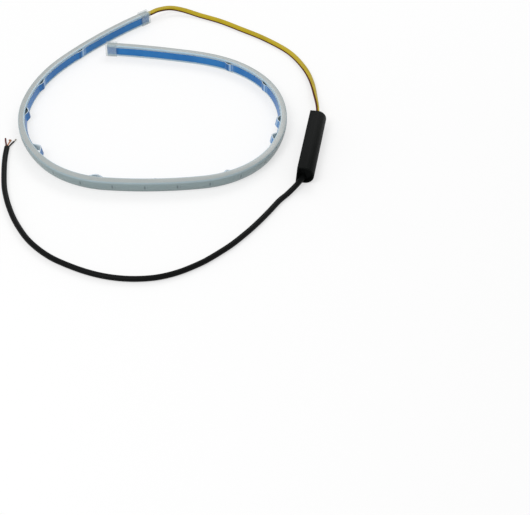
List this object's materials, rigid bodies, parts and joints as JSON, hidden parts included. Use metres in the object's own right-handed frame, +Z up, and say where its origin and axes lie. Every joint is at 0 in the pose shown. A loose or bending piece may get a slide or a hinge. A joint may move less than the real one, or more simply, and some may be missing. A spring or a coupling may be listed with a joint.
{
  "type": "daytime running light",
  "caption": "Flexible silicone light strip in an open loop, with end caps, an inline controller, a flat lead and a round supply cable with bare ends.",
  "frame": {"origin": "middle of the footprint of the strip and the controller, on the surface that they lie on", "axes": "+Z up from the table, +X to the right and +Y away from the viewer of the picture"},
  "size_m": [0.2164, 0.313, 0.012],
  "materials": {
    "milky_silicone": "satin, milky and translucent",
    "clear_silicone": "satin, translucent",
    "flex_film": "satin white film",
    "foam_tape": "matte translucent foam",
    "blue_liner": "satin film with creases",
    "yellow_insulation": "satin",
    "red_insulation": "satin",
    "black_insulation": "satin",
    "black_housing": "satin moulded",
    "potting": "satin",
    "board_green": "solder mask",
    "chip_body": "matte",
    "capacitor_can": "satin",
    "led_body": "satin",
    "cable_jacket": "satin",
    "copper_strands": "bare copper",
    "tinned_strands": "tinned"
  },
  "bodies": {
    "root": {"silicone_sleeve": "milky_silicone", "lead_end_cap": "clear_silicone", "blank_end_cap": "clear_silicone", "flex_board": "flex_film", "adhesive_tape": "foam_tape", "release_liner": "blue_liner", "lead_wire_yellow": "yellow_insulation", "lead_wire_red": "red_insulation", "lead_wire_black": "black_insulation", "controller_housing": "black_housing", "lead_plug": "potting", "cable_plug": "potting", "circuit_board": "board_green", "microcontroller": "chip_body", "power_transistor_1": "chip_body", "power_transistor_2": "chip_body", "power_transistor_3": "chip_body", "smoothing_capacitor": "capacitor_can", "polarity_diode": "chip_body", "cable_sheath": "cable_jacket", "core_red": "red_insulation", "core_copper": "copper_strands", "core_black": "black_insulation", "core_black_tip": "tinned_strands", "led_01": "led_body", "led_02": "led_body", "led_03": "led_body", "led_04": "led_body", "led_05": "led_body", "led_06": "led_body", "led_07": "led_body", "led_08": "led_body", "led_09": "led_body", "led_10": "led_body", "led_11": "led_body", "led_12": "led_body", "led_13": "led_body", "led_14": "led_body", "led_15": "led_body", "led_16": "led_body", "led_17": "led_body", "led_18": "led_body", "led_19": "led_body", "led_20": "led_body", "led_21": "led_body", "led_22": "led_body", "led_23": "led_body", "led_24": "led_body", "led_25": "led_body", "led_26": "led_body", "led_27": "led_body", "led_28": "led_body"}
  },
  "joints": []
}
